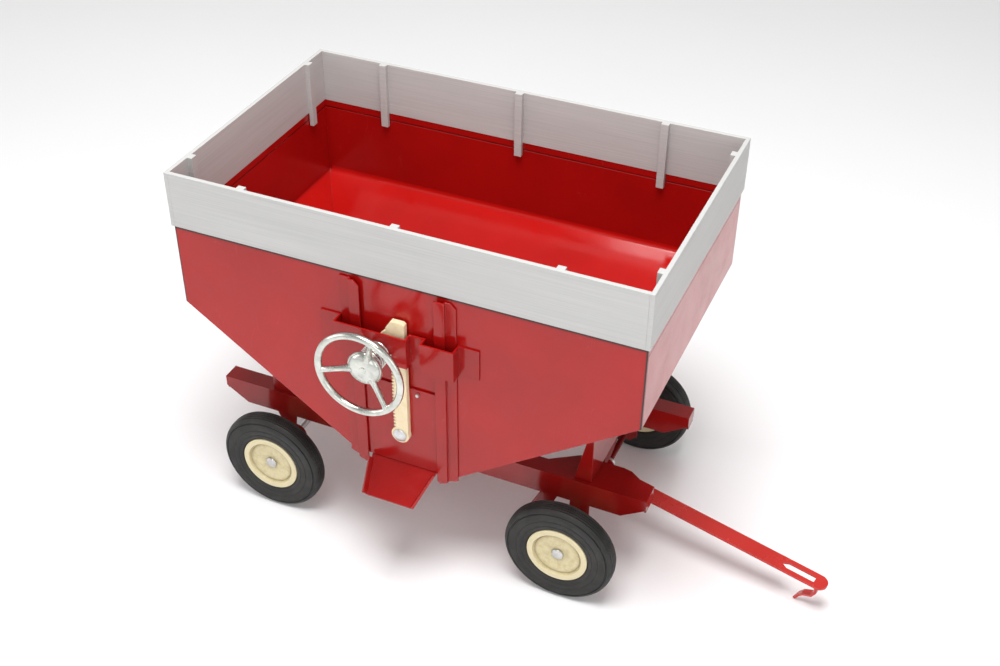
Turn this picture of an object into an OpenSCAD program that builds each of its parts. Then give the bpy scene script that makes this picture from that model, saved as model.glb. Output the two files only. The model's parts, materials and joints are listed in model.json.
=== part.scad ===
// Gravity wagon: a sheet-steel grain hopper with a side gate, on a four-wheel gear with a tongue.
// X runs forward to the tongue, Y away from the gate side, Z up. The ground is z = 0, and the
// middle of the wagon's footprint is the origin.

/* [Hopper] */
// Length of the hopper over its end walls
hopper_len = 204.2; // [170:1:245]
// Width of the hopper over its side walls
hopper_wid = 123.8; // [112:1:148]
// Height of the hopper's rim above the ground
rim_z = 149.4; // [140:1:178]
// Height of the folds where the upright walls turn into the sloping floors
fold_z = 111.2; // [100:1:124]
// Height of the lower edge of the gate-side panel
panel_foot_z = 57.6; // [54:0.5:64]
// Length of the straight foot of the gate-side panel
panel_foot_len = 50; // [46:1:60]
// Thickness of the hopper's steel sheet
sheet_t = 0.9; // [0.6:0.1:1.2]

/* [Gate] */
// Width of the gate plate
gate_w = 39.6; // [34:0.2:42]
// Height of the gate plate
gate_h = 41.9; // [36:0.1:46]
// Thickness of the gate plate
gate_t = 0.8; // [0.6:0.1:1.2]
// Width of the discharge hole in the panel
hole_w = 28; // [20:1:30]
// Lift of the gate from closed to fully open
gate_travel = 15; // [10:0.5:15]
// Height of the top of both guides
guide_top_z = 147; // [138:1:148]
// Width of each guide's lip, over the edge of the gate
guide_lip_w = 4.8; // [2.5:0.1:5.5]
// Width of each guide's flange, on the panel
guide_flange_w = 4.4; // [3:0.1:6]
// Thickness of the guides and of the wheel bracket
strip_t = 0.8; // [0.6:0.1:1]

/* [Gate drive] */
// Distance from one rack tooth to the next
tooth_pitch = 1.7; // [1.5:0.05:1.9]
// Number of teeth on the pinion
pinion_teeth = 13; // [12:1:14]
// Height of the handwheel shaft above the ground
shaft_z = 119.7; // [117:0.1:124]
// Diameter of the handwheel shaft
shaft_d = 2.8; // [2:0.1:3.2]
// Width of the rack without its teeth
rack_w = 5.7; // [4.5:0.1:6.5]
// Thickness of the rack
rack_t = 2.5; // [1.8:0.1:3]
// Height of the rack from end to end
rack_h = 61.8; // [58:0.1:66]
// Diameter of the handwheel, over the rim
handwheel_d = 39; // [32:1:46]
// Diameter of the handwheel's rim bar
handwheel_bar_d = 3; // [2:0.1:4]
// Distance from the hopper's panel to the middle of the handwheel's rim
handwheel_reach = 23.5; // [21:0.1:28]
// Outer diameter of the spring behind the handwheel
spring_d = 11; // [8:0.5:13]
// Height of the wheel bracket
bracket_h = 14.3; // [12:0.1:16]
// Distance that the wheel bracket's hats stand out from the panel
bracket_depth = 6.1; // [5.6:0.1:7]

/* [Spout] */
// Distance from each edge of the gate in to the side of the spout at the panel
spout_inset = 4.55; // [3.4:0.05:5.8]
// Width of the spout at its tip
spout_tip_w = 22; // [16:0.5:26]
// Distance that the spout reaches out from the panel
spout_reach = 16.1; // [12:0.1:20]
// Slope of the spout below the horizontal, in degrees
spout_slope = 30; // [26:1:36]
// Height of the spout's side flanges
spout_side_h = 2.6; // [1.5:0.1:4]

/* [Extension] */
// Height of the sideboard extension
ext_h = 24.8; // [18:0.1:34]
// Thickness of the sideboards
ext_t = 1.8; // [1.4:0.1:2.4]
// Distance that the sideboards stand proud of the hopper
ext_proud = 0.8; // [0.2:0.1:1]
// Width of each upright rib inside the sideboards
rib_w = 3.4; // [2.4:0.1:5]
// Depth of each upright rib
rib_depth = 2.2; // [1.6:0.1:3]
// Distance that the ribs reach down into the hopper
rib_drop = 6.3; // [4:0.1:9]

/* [Running gear] */
// Distance between the front and rear axles
wheelbase = 141.4; // [136:0.5:146]
// Outside diameter of the tyres
tyre_d = 49.9; // [46:0.1:54]
// Width of the tyres
tyre_w = 8.8; // [8:0.1:11]
// Diameter of the wheel rims
rim_d = 27.6; // [24:0.1:31]
// Distance between the outer faces of the left and right wheels
track_out = 114.4; // [110:0.2:124]
// Diameter of the axle rods
axle_d = 2.8; // [2.4:0.1:3.4]
// Length of the two chassis rails
rail_len = 208; // [196:1:220]
// Distance over the outer faces of the rails
rail_spread = 68; // [64:0.5:72]
// Width of a rail
rail_w = 8.5; // [7:0.1:10]
// Depth of a rail
rail_h = 12.2; // [10:0.1:14]
// Height of the top of the rails above the ground
rail_top_z = 48.2; // [47:0.1:50]
// Thickness of the running gear's steel
gear_t = 0.9; // [0.8:0.1:1.1]

/* [Tongue] */
// Length from the tongue's rivet to the middle of its round tip
tongue_len = 96.8; // [80:0.5:115]
// Width of the tongue
tongue_w = 8.2; // [7:0.1:9.5]
// Thickness of the tongue
tongue_t = 1.2; // [0.9:0.1:1.5]
// Length of the slot near the tip, where the hook is cut out
slot_len = 15.8; // [12:0.1:20]
// Width of the slot and of the hook
slot_w = 3.6; // [3:0.1:4.5]
// Drop of the tongue below the horizontal at rest, in degrees
tongue_droop = 5.3; // [4:0.1:6]
// Turn of the tongue towards the gate side at rest, in degrees
tongue_yaw = 9.9; // [0:0.1:14]

/* [Hidden] */
$fn = 96;

// Colours
body_red = "firebrick";
gear_red = "darkred";
sideboard_grey = "lightgray";
cream = "wheat";
bright_steel = "silver";

// Clearances: a running fit on the radius, a sliding gap between flat faces, and a clear gap
run_gap = 0.07;
slide_gap = 0.2;
clear_gap = 0.35;
// Length by which a cutting shape runs past the faces that it cuts
past = 1;

// Hopper surfaces
half_len = hopper_len / 2;
half_wid = hopper_wid / 2;
half_foot = panel_foot_len / 2;
end_rise = (fold_z - panel_foot_z) / (half_len - half_foot);
back_rise = (fold_z - panel_foot_z) / hopper_wid;
end_cos = cos(atan(end_rise));
back_cos = cos(atan(back_rise));
panel_in_y = -half_wid + sheet_t;

// Height of the outside of the end floors at a distance x from the middle
function end_floor_z(x) = panel_foot_z + (abs(x) - half_foot) * end_rise;
// Height of the outside of the back floor at y
function back_floor_z(y) = panel_foot_z + (y + half_wid) * back_rise;
// Distance from the middle to the valley between the end and back floors at y
function valley_x(y) = half_foot + (y + half_wid) * (half_len - half_foot) / hopper_wid;

// Gate and its drive, in front of the panel
panel_y = -half_wid;
gate_back_y = panel_y - slide_gap * 0.75;
gate_front_y = gate_back_y - gate_t;
lip_y = gate_front_y - clear_gap;
gate_foot_z = panel_foot_z + slide_gap;
gate_top_z = gate_foot_z + gate_h;
hole_foot_z = panel_foot_z + 1.2;
hole_h = gate_travel - 2;
guide_in_x = gate_w / 2 + clear_gap;
spout_w = gate_w - 2 * spout_inset;
guide_foot_z = panel_foot_z - 4.6;
bracket_lift = 0.85;
bracket_foot_z = shaft_z - bracket_h / 2 + bracket_lift;
hat_front_y = panel_y - bracket_depth;
pitch_r = pinion_teeth * tooth_pitch / 360 * 180 / PI;
tooth_h = 1;
rack_pitch_x = -2.15;
shaft_x = rack_pitch_x - pitch_r;
rack_x = rack_pitch_x + tooth_h / 2;
rack_right_x = rack_x + rack_w;
rack_foot_z = 71.2;
rack_foot_r = 4;
rack_rivet_x = rack_right_x - rack_foot_r + 0.2;
rack_rivet_z = rack_foot_z + rack_foot_r;
stud_d = 1.6;
stud_head = 1.2;
stud_x = rack_right_x + 3.9;
stud_z = bracket_foot_z - gate_travel - slide_gap - stud_d / 2;
shaft_r = shaft_d / 2;
handwheel_y = panel_y - handwheel_reach;
hub_dish = 4.6;
hub_y = handwheel_y + hub_dish;
hub_r = 7.6;
bar_r = handwheel_bar_d / 2;
ring_r = handwheel_d / 2 - bar_r;

// Sideboards
ext_half_len = half_len + ext_proud;
ext_half_wid = half_wid + ext_proud;
rib_pitch_x = 67.5;
rib_pitch_y = 47;

// Running gear
axle_z = tyre_d / 2;
front_axle_x = wheelbase / 2 - 2.1;
rear_axle_x = front_axle_x - wheelbase;
rail_mid_x = -4.5;
rail_front_x = rail_mid_x + rail_len / 2;
rail_rear_x = rail_mid_x - rail_len / 2;
rail_out_y = rail_spread / 2;
rail_foot_z = rail_top_z - rail_h;
nose_w = 16.5;
nose_tip_w = 10.5;
bolster_front_x = front_axle_x + 5.4;
bolster_rear_x = rear_axle_x - 10.8;
bolster_half_wid = rail_out_y - 2;
bolster_foot_y = 9.4;
hanger_y = rail_out_y - gear_t;
hanger_eye_r = 5;
hanger_foot_z = axle_z - hanger_eye_r;
axle_r = axle_d / 2;
wheel_out_y = track_out / 2;
rim_r = rim_d / 2;
tyre_r = tyre_d / 2;
hub_face_in = 1.6;
axle_half = wheel_out_y - hub_face_in + 0.4;

// Tongue
tongue_r = tongue_w / 2;
rivet_reach = 10;
rivet_r = 1.2;
hook_x = tongue_len - 1.6;
hook_drop = 15.2;
hook_back = 6.6;
clevis_in = 10;
clevis_gap = 0.15;

// Extents of the whole wagon, which put its origin in the middle of its footprint
tip_x = front_axle_x + (rivet_reach + tongue_len * cos(tongue_yaw) + tongue_r) * cos(tongue_droop)
    + tongue_t / 2 * sin(tongue_droop);
mid_x = (tip_x + rail_rear_x) / 2;
mid_y = (handwheel_y - bar_r + ext_half_wid) / 2;

// ---------------------------------------------------------------- helpers

// Moves a piece from the hopper's middle to the wagon's own frame
module place() {
    translate([-mid_x, -mid_y, 0]) children();
}

// A block from one corner to the opposite corner
module block(low, high) {
    translate(low) cube(high - low);
}

// An outline in X and Z, made a plate from y0 to y1
module plate_y(y0, y1) {
    translate([0, y1, 0]) rotate([90, 0, 0]) linear_extrude(y1 - y0) children();
}

// An outline in Y and Z, made a plate from x0 to x1
module plate_x(x0, x1) {
    translate([x0, 0, 0]) rotate([90, 0, 90]) linear_extrude(x1 - x0) children();
}

// A solid of revolution whose outline gives the radius and the distance along -Y
module lathe_y() {
    rotate([90, 0, 0]) rotate_extrude() children();
}

// A round bar along Y from y0 to y1
module bar_y(x, z, r, y0, y1) {
    translate([x, y1, z]) rotate([90, 0, 0]) cylinder(r = r, h = y1 - y0);
}

function unit(v) = v / norm(v);
function left_of(v) = [-v[1], v[0]];
// Sideways step at a corner of a path that keeps both neighbouring faces parallel
function corner_step(p, i) =
    let (before = left_of(unit(p[max(i, 1)] - p[max(i, 1) - 1])),
        after = left_of(unit(p[min(i, len(p) - 2) + 1] - p[min(i, len(p) - 2)])))
    (before + after) / (1 + before * after);
function beside(p, t) = [for (i = [0:len(p) - 1]) p[i] + t * corner_step(p, i)];
function backwards(p) = [for (i = [len(p) - 1:-1:0]) p[i]];

// The outline of a strip of thickness t, folded along a path, on the path's left side
module folded(path, t) {
    polygon(concat(path, backwards(beside(path, t))));
}

// ---------------------------------------------------------------- hopper

// Everything above the outside of the sloping floors and inside the walls, inset by t
module hopper_space(t, top) {
    end_lift = t / end_cos;
    back_lift = t / back_cos;
    x = half_len - t;
    y = half_wid - t;
    intersection() {
        plate_y(-half_wid, y) polygon([[-x, top], [-x, end_floor_z(x) + end_lift],
            [0, end_floor_z(0) + end_lift], [x, end_floor_z(x) + end_lift], [x, top]]);
        plate_x(-half_len, half_len) polygon([[-half_wid, top], [-half_wid, back_floor_z(-half_wid) + back_lift],
            [y, back_floor_z(y) + back_lift], [y, top]]);
    }
}

// The hopper's sheet, between its outside and its inside
module hopper_sheet() {
    difference() {
        hopper_space(0, rim_z);
        hopper_space(sheet_t, rim_z + past);
    }
}

// The plan of the back floor and far wall, between the two valleys
module back_plan(low, high) {
    translate([0, 0, low]) linear_extrude(high - low) polygon([
        [-valley_x(panel_in_y), panel_in_y], [valley_x(panel_in_y), panel_in_y],
        [half_len, half_wid], [-half_len, half_wid]]);
}

// The plan of the right end, outside its valley
module end_plan(low, high) {
    translate([0, 0, low]) linear_extrude(high - low) polygon([
        [valley_x(panel_in_y), panel_in_y], [half_len, panel_in_y], [half_len, half_wid]]);
}

module near_panel() {
    color(body_red) place() difference() {
        plate_y(-half_wid, panel_in_y) polygon([[-half_len, rim_z], [-half_len, fold_z],
            [-half_foot, panel_foot_z], [half_foot, panel_foot_z], [half_len, fold_z], [half_len, rim_z]]);
        block([-hole_w / 2, -half_wid - past, hole_foot_z],
            [hole_w / 2, panel_in_y + past, hole_foot_z + hole_h]);
    }
}

module far_wall() {
    color(body_red) place() intersection() {
        hopper_sheet();
        back_plan(fold_z, rim_z);
    }
}

module back_floor() {
    color(body_red) place() intersection() {
        hopper_sheet();
        back_plan(0, fold_z);
    }
}

module right_end_wall_shape() {
    intersection() {
        hopper_sheet();
        end_plan(fold_z, rim_z);
    }
}

module right_floor_shape() {
    intersection() {
        hopper_sheet();
        end_plan(0, fold_z);
    }
}

module right_end_wall() {
    color(body_red) place() right_end_wall_shape();
}

module right_floor() {
    color(body_red) place() right_floor_shape();
}

module left_end_wall() {
    color(body_red) place() mirror([1, 0, 0]) right_end_wall_shape();
}

module left_floor() {
    color(body_red) place() mirror([1, 0, 0]) right_floor_shape();
}

// ---------------------------------------------------------------- gate guides, bracket and spout

// A guide on the right of the gate: a flange on the panel and a lip over the gate's edge
module guide_section() {
    out_x = guide_in_x + strip_t + guide_flange_w;
    folded([[out_x, panel_y - strip_t], [guide_in_x + strip_t, panel_y - strip_t],
        [guide_in_x + strip_t, lip_y - strip_t], [guide_in_x + strip_t - guide_lip_w, lip_y - strip_t]],
        -strip_t);
}

// The front outline of a guide from x0 to x1, with a chamfer at its top right corner
// and a foot that rises outwards; side is 1 on the right and -1 on the left
module guide_front(x0, x1, side) {
    chamfer = 2.3;
    foot_rise = 3.2;
    inner = side > 0 ? x0 : x1;
    outer = side > 0 ? x1 : x0;
    foot = [[inner, guide_foot_z + 1.6], [inner + side * 1.2, guide_foot_z],
        [outer, guide_foot_z + foot_rise]];
    top_right = [[x1, guide_top_z - chamfer], [x1 - chamfer, guide_top_z], [x0, guide_top_z]];
    polygon(side > 0 ? concat(foot, top_right) : concat(backwards(foot), top_right));
}

module guide(side) {
    lip_x = guide_in_x + strip_t - guide_lip_w;
    out_x = guide_in_x + strip_t + guide_flange_w;
    intersection() {
        translate([0, 0, guide_foot_z - past]) linear_extrude(guide_top_z - guide_foot_z + 2 * past)
            mirror([side > 0 ? 0 : 1, 0]) guide_section();
        plate_y(lip_y - past - strip_t, panel_y)
            guide_front(side > 0 ? lip_x : -out_x, side > 0 ? out_x : -lip_x, side);
    }
}

module left_guide() {
    color(body_red) place() guide(-1);
}

module right_guide() {
    color(body_red) place() guide(1);
}

// One bent strip: a tab on the panel, a wide hat over the rack and pinion, a recess close over
// the gate, a small hat over the right guide, and a second tab
module wheel_bracket() {
    flange_x = guide_in_x + strip_t + guide_flange_w + clear_gap;
    hat_room = 1.1;
    rack_side = rack_right_x + hat_room + strip_t;
    recess_w = 5.8;
    tab_w = 8.6;
    base = panel_y - strip_t;
    color(body_red) place() difference() {
        translate([0, 0, bracket_foot_z]) linear_extrude(bracket_h) folded([
            [-flange_x - strip_t - tab_w, base], [-flange_x - strip_t, base],
            [-flange_x - strip_t, hat_front_y], [rack_side, hat_front_y],
            [rack_side, lip_y - strip_t], [rack_side + recess_w, lip_y - strip_t],
            [rack_side + recess_w, hat_front_y], [flange_x + strip_t, hat_front_y],
            [flange_x + strip_t, base], [flange_x + strip_t + tab_w, base]], strip_t);
        bar_y(shaft_x, shaft_z, shaft_r + run_gap, hat_front_y - past, hat_front_y + strip_t + past);
    }
}

// The spout's floor: a lap under the back floor, then a steeper run out under the gate
module spout() {
    lap = 10;
    side_lean = 35;
    tip_y = panel_y - spout_reach;
    tip_z = panel_foot_z - spout_reach * tan(spout_slope);
    out_len = spout_reach / cos(spout_slope);
    side_in = (spout_w - spout_tip_w) / 2;
    side_turn = atan(side_in / out_len);
    side_len = norm([out_len, side_in]);
    side_start = (lip_y - strip_t - clear_gap - panel_y) / -cos(spout_slope);
    color(body_red) place() {
        intersection() {
            plate_x(-spout_w / 2, spout_w / 2) folded([
                [panel_y + lap, back_floor_z(panel_y + lap)], [panel_in_y, panel_foot_z],
                [panel_y, panel_foot_z], [tip_y, tip_z]], sheet_t);
            translate([0, 0, tip_z - 10]) linear_extrude(hopper_wid) polygon([
                [-spout_w / 2, panel_y + lap], [-spout_w / 2, panel_y], [-spout_tip_w / 2, tip_y - past],
                [spout_tip_w / 2, tip_y - past], [spout_w / 2, panel_y], [spout_w / 2, panel_y + lap]]);
        }
        for (side = [-1, 1])
            translate([side * spout_w / 2, panel_y, panel_foot_z])
                rotate([spout_slope, 0, 0]) rotate([0, 0, -side * side_turn])
                rotate([0, side * side_lean, 0])
                translate([side > 0 ? -sheet_t * 0.9 : -sheet_t * 0.1, -side_len, -sheet_t * 0.9])
                cube([sheet_t, side_len - side_start, spout_side_h]);
    }
}

// ---------------------------------------------------------------- gate

module gate_plate() {
    color(body_red) place() difference() {
        block([-gate_w / 2, gate_front_y, gate_foot_z], [gate_w / 2, gate_back_y, gate_top_z]);
        bar_y(rack_rivet_x, rack_rivet_z, rivet_r, gate_front_y - past, gate_back_y + past);
        bar_y(stud_x, stud_z, stud_d / 4, gate_front_y - past, gate_back_y + past);
    }
}

// Rack teeth stand on the rack's left edge, and their pitch line touches the pinion's. A head at
// the top has a lug over the pinion, and the foot is round about the rivet
module gate_rack() {
    root = tooth_pitch * 0.34;
    tip = tooth_pitch * 0.15;
    top_z = rack_foot_z + rack_h;
    lug_foot_z = shaft_z + pitch_r + tooth_h * 0.4 + clear_gap;
    head_x = rack_pitch_x - 2.05;
    lug_x = head_x - 2.9;
    mesh_z = shaft_z + tooth_pitch / 2;
    below = floor((mesh_z - rack_rivet_z - rack_foot_r) / tooth_pitch);
    above = floor((lug_foot_z - mesh_z) / tooth_pitch) - 1;
    color(cream) place() difference() {
        plate_y(gate_front_y - rack_t, gate_front_y) union() {
            translate([rack_rivet_x, rack_rivet_z]) circle(r = rack_foot_r);
            polygon([[rack_x, rack_rivet_z], [rack_right_x, rack_rivet_z], [rack_right_x, top_z - 0.8],
                [rack_right_x - 1, top_z], [head_x + 2.3, top_z], [head_x, top_z - 3.6],
                [head_x, lug_foot_z + 3.7], [lug_x + 2, lug_foot_z + 3.3], [lug_x, lug_foot_z + 1.2],
                [lug_x, lug_foot_z], [rack_x, lug_foot_z]]);
            for (i = [-below:above])
                translate([rack_x, mesh_z + i * tooth_pitch])
                    polygon([[0.1, -root], [0.1, root], [-tooth_h * 0.9, tip], [-tooth_h * 0.9, -tip]]);
        }
        bar_y(rack_rivet_x, rack_rivet_z, rivet_r, gate_front_y - rack_t - past, gate_front_y + past);
    }
}

// A domed rivet through the rack and the gate
module rack_rivet() {
    head_r = 3;
    head_h = 0.9;
    color(bright_steel) place() translate([rack_rivet_x, gate_back_y - 0.02, rack_rivet_z]) lathe_y()
        polygon(concat([[0, 0], [rivet_r, 0], [rivet_r, gate_t + rack_t], [head_r, gate_t + rack_t]],
            [for (a = [0:15:90]) [head_r * cos(a), gate_t + rack_t + 0.3 + head_h * sin(a)]]));
}

// A stud beside the rack stops the gate under the bracket
module gate_stop_stud() {
    color(bright_steel) place() translate([stud_x, gate_back_y - 0.02, stud_z]) lathe_y()
        polygon([[0, 0], [stud_d / 4, 0], [stud_d / 4, gate_t], [stud_d / 2, gate_t],
            [stud_d / 2, gate_t + stud_head - 0.2], [stud_d / 2 - 0.2, gate_t + stud_head],
            [0, gate_t + stud_head]]);
}

// ---------------------------------------------------------------- gate drive

pinion_back_y = gate_front_y - 0.4;
pinion_front_y = hat_front_y + strip_t + 0.4;

module pinion() {
    tip_r = pitch_r + tooth_h * 0.4;
    root_r = pitch_r - tooth_h / 2;
    step = 360 / pinion_teeth;
    wide = step * 0.19;
    thin = step * 0.08;
    color(cream) place() difference() {
        plate_y(pinion_front_y, pinion_back_y) translate([shaft_x, shaft_z]) union() {
            circle(r = root_r);
            for (i = [0:pinion_teeth - 1])
                rotate(i * step) polygon([[root_r - 0.2, -root_r * sin(wide)], [tip_r, -tip_r * sin(thin)],
                    [tip_r, tip_r * sin(thin)], [root_r - 0.2, root_r * sin(wide)]]);
        }
        bar_y(shaft_x, shaft_z, shaft_r, pinion_front_y - past, pinion_back_y + past);
    }
}

module handwheel_shaft() {
    color(bright_steel) place()
        bar_y(shaft_x, shaft_z, shaft_r, hub_y - 1, gate_front_y - slide_gap);
}

spring_wire_r = 0.42;
spring_back_y = hat_front_y - spring_wire_r - 0.08;
spring_front_y = hub_y + 3 + spring_wire_r + 0.08;

// A coil of round wire between the bracket and the handwheel's hub
module handwheel_spring() {
    turns = 5;
    steps = 22;
    sides = 6;
    coil_r = spring_d / 2 - spring_wire_r;
    rise = (spring_back_y - spring_front_y) / (turns - 1.5);
    rings = turns * steps;
    // A flat turn at each end, and an even rise between them
    function along(i) = rise * min(max(i / steps - 0.75, 0), turns - 1.5);
    points = [for (i = [0:rings], j = [0:sides - 1])
        let (a = i * 360 / steps, b = j * 360 / sides, r = coil_r + spring_wire_r * cos(b))
        [r * cos(a), -along(i) + spring_wire_r * sin(b), r * sin(a)]];
    walls = [for (i = [0:rings - 1], j = [0:sides - 1])
        let (k = (j + 1) % sides)
        [i * sides + j, i * sides + k, (i + 1) * sides + k, (i + 1) * sides + j]];
    ends = [[for (j = [sides - 1:-1:0]) j], [for (j = [0:sides - 1]) rings * sides + j]];
    color(bright_steel) place() translate([shaft_x, spring_back_y, shaft_z])
        polyhedron(points, concat(walls, ends), convexity = 10);
}

// A dished wheel: a round rim, three round spokes and a domed hub
module handwheel() {
    spoke_r = 1.25;
    spoke_in = hub_r - 1.6;
    spoke_len = norm([ring_r - spoke_in, hub_dish - 0.6]);
    spoke_tilt = atan2(hub_dish - 0.6, ring_r - spoke_in);
    color(bright_steel) place() translate([shaft_x, handwheel_y, shaft_z]) difference() {
        union() {
            rotate([90, 0, 0]) rotate_extrude() translate([ring_r, 0]) circle(r = bar_r, $fn = 48);
            for (a = [190, 310, 70])
                rotate([0, -a, 0]) translate([spoke_in, hub_dish - 0.6, 0]) rotate([0, 0, -spoke_tilt])
                    rotate([0, 90, 0]) cylinder(r = spoke_r, h = spoke_len, $fn = 32);
            translate([0, hub_dish, 0]) lathe_y() polygon(concat(
                [[0, -3], [3.4, -3], [4, -1.6], [hub_r - 0.6, -1.2], [hub_r, -0.4]],
                [for (a = [0:10:90]) [hub_r * cos(a), 2.6 * sin(a)]]));
        }
        bar_y(0, 0, shaft_r, hub_dish - 1, hub_dish + 3 + past);
    }
}

// ---------------------------------------------------------------- sideboard extension

// A board from x0 to x1 with ribs at the places given, standing along X with its inside at y = 0
// and its outside at y = ext_t
module sideboard(x0, x1, ribs) {
    rib_back = ext_t - ext_proud - sheet_t;
    block([x0, 0, rim_z], [x1, ext_t, rim_z + ext_h]);
    for (x = ribs) {
        block([x - rib_w / 2, -rib_depth, rim_z], [x + rib_w / 2, 0, rim_z + ext_h]);
        block([x - rib_w / 2, -rib_depth, rim_z - rib_drop],
            [x + rib_w / 2, min(rib_back - clear_gap, 0), rim_z]);
    }
}

module side_pair_board() {
    x = ext_half_len - ext_t;
    translate([0, ext_half_wid - ext_t, 0]) sideboard(-x, x, [-rib_pitch_x - 1, -1, rib_pitch_x - 1]);
}

module end_pair_board() {
    translate([ext_half_len - ext_t, 0, 0]) rotate([0, 0, -90])
        sideboard(-ext_half_wid, ext_half_wid, [-rib_pitch_y, rib_pitch_y]);
}

module far_sideboard() {
    color(sideboard_grey) place() side_pair_board();
}

module near_sideboard() {
    color(sideboard_grey) place() mirror([0, 1, 0]) side_pair_board();
}

module right_sideboard() {
    color(sideboard_grey) place() end_pair_board();
}

module left_sideboard() {
    color(sideboard_grey) place() mirror([1, 0, 0]) end_pair_board();
}

// ---------------------------------------------------------------- chassis

// The side of a rail: full depth, tapered to a shallow nose at both ends
module rail_side() {
    taper = 11;
    shallow = 5.2;
    polygon([[rail_rear_x, rail_top_z], [rail_rear_x, rail_top_z - shallow],
        [rail_rear_x + taper, rail_foot_z], [rail_front_x - taper, rail_foot_z],
        [rail_front_x, rail_top_z - shallow], [rail_front_x, rail_top_z]]);
}

// Turned-down ends of a rail from y0 to y1
module rail_end(x, y0, y1) {
    end_drop = 7;
    block([x, y0 + 0.8, rail_top_z - end_drop], [x + gear_t, y1 - 0.8, rail_top_z]);
}

// An upside-down channel on the far side
module far_rail() {
    inner_y = rail_out_y - rail_w;
    color(gear_red) place() {
        block([rail_rear_x, inner_y, rail_top_z - gear_t], [rail_front_x, rail_out_y, rail_top_z]);
        plate_y(rail_out_y - gear_t, rail_out_y) rail_side();
        plate_y(inner_y, inner_y + gear_t) rail_side();
        rail_end(rail_rear_x, inner_y, rail_out_y);
        rail_end(rail_front_x - gear_t, inner_y, rail_out_y);
    }
}

// The near rail is the same channel, with its top widened to a nose at the front
module near_rail() {
    inner_y = -rail_out_y + rail_w;
    nose_y = -rail_out_y + nose_w;
    nose_tip_y = -rail_out_y + nose_tip_w;
    color(gear_red) place() {
        translate([0, 0, rail_top_z - gear_t]) linear_extrude(gear_t) polygon([
            [rail_rear_x, -rail_out_y], [rail_front_x, -rail_out_y], [rail_front_x, nose_tip_y],
            [rail_front_x - 7, nose_tip_y + 1.8], [rail_front_x - 12, nose_y - 0.8],
            [rail_front_x - 16, nose_y], [rail_front_x - 36, nose_y], [rail_front_x - 48, inner_y],
            [rail_rear_x, inner_y]]);
        plate_y(-rail_out_y, -rail_out_y + gear_t) rail_side();
        plate_y(inner_y - gear_t, inner_y) intersection() {
            rail_side();
            translate([rail_rear_x, 0]) square([rail_len - 48, rim_z]);
        }
        rail_end(rail_rear_x, -rail_out_y, inner_y);
        rail_end(rail_front_x - gear_t, -rail_out_y, nose_tip_y);
    }
}

// A cross plate from rail to rail, with a gusset at each end, cut to the hopper's underside.
// The outer face is at x, and out is the direction that it faces, 1 or -1
module bolster(x, out) {
    foot = 8;
    waist = 3.5;
    web_x = x - out * gear_t;
    color(gear_red) place() difference() {
        union() {
            block([min(x, web_x), -bolster_half_wid, rail_top_z],
                [max(x, web_x), bolster_half_wid, fold_z]);
            for (y = [-bolster_half_wid, bolster_half_wid - gear_t])
                plate_y(y, y + gear_t) polygon([[x, rail_top_z], [x - out * foot, rail_top_z],
                    [x - out * waist, rail_top_z + 20], [x - out * 2, fold_z], [x, fold_z]]);
        }
        hopper_space(0, rim_z);
    }
}

// The front bolster's far gusset also reaches forward of its web
module front_bolster() {
    flare = 4.6;
    bolster(bolster_front_x, 1);
    color(gear_red) place() difference() {
        plate_y(bolster_half_wid - gear_t, bolster_half_wid) polygon([
            [bolster_front_x, rail_top_z], [bolster_front_x + flare - 2, rail_top_z],
            [bolster_front_x + flare, rail_top_z + 3], [bolster_front_x + flare, rail_top_z + 12],
            [bolster_front_x + 2.6, fold_z], [bolster_front_x, fold_z]]);
        hopper_space(0, rim_z);
    }
}

module rear_bolster() {
    bolster(bolster_rear_x, -1);
}

// A tapered plate behind the middle of the front bolster, leaning back over the tongue
module bolster_apron() {
    lap = 6;
    drop = 16;
    lean = 9;
    half_foot_w = 6.4;
    back_x = bolster_front_x - gear_t;
    foot_x = back_x - drop * tan(lean);
    color(gear_red) place() intersection() {
        plate_y(-bolster_foot_y, bolster_foot_y) folded([[back_x, rail_top_z + lap], [back_x, rail_top_z],
            [foot_x, rail_top_z - drop]], -gear_t);
        plate_x(foot_x - past - gear_t, back_x) polygon([[-bolster_foot_y, rail_top_z + lap],
            [-bolster_foot_y, rail_top_z], [-bolster_foot_y + 1, rail_top_z - drop * 0.6],
            [-half_foot_w, rail_top_z - drop], [half_foot_w - 2, rail_top_z - drop],
            [bolster_foot_y - 2, rail_top_z - drop * 0.75], [bolster_foot_y - 1, rail_top_z],
            [bolster_foot_y - 1, rail_top_z + lap]]);
    }
}

// A front hanger inside a rail's outer side: two legs with a window between them, and an eye for
// the axle. The four x values are the legs' outer and inner edges at the rail's foot
module front_hanger(legs) {
    head_z = rail_foot_z + 6;
    window_foot = axle_z + 4.5;
    spread = 0.4;
    drop = rail_foot_z - hanger_foot_z;
    difference() {
        union() {
            polygon([[legs[0], head_z], [legs[0], rail_foot_z], [legs[0] - drop * spread, hanger_foot_z + 3],
                [legs[0] - drop * spread + 3, hanger_foot_z], [legs[3] - 3, hanger_foot_z],
                [legs[3], hanger_foot_z + 3], [legs[3], head_z]]);
            translate([front_axle_x, axle_z]) circle(r = hanger_eye_r);
        }
        polygon([[legs[1], rail_foot_z], [legs[2], rail_foot_z], [legs[2] - 0.3, window_foot],
            [legs[1] - (rail_foot_z - window_foot) * spread, window_foot]]);
        translate([front_axle_x, axle_z]) circle(r = axle_r);
    }
}

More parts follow.
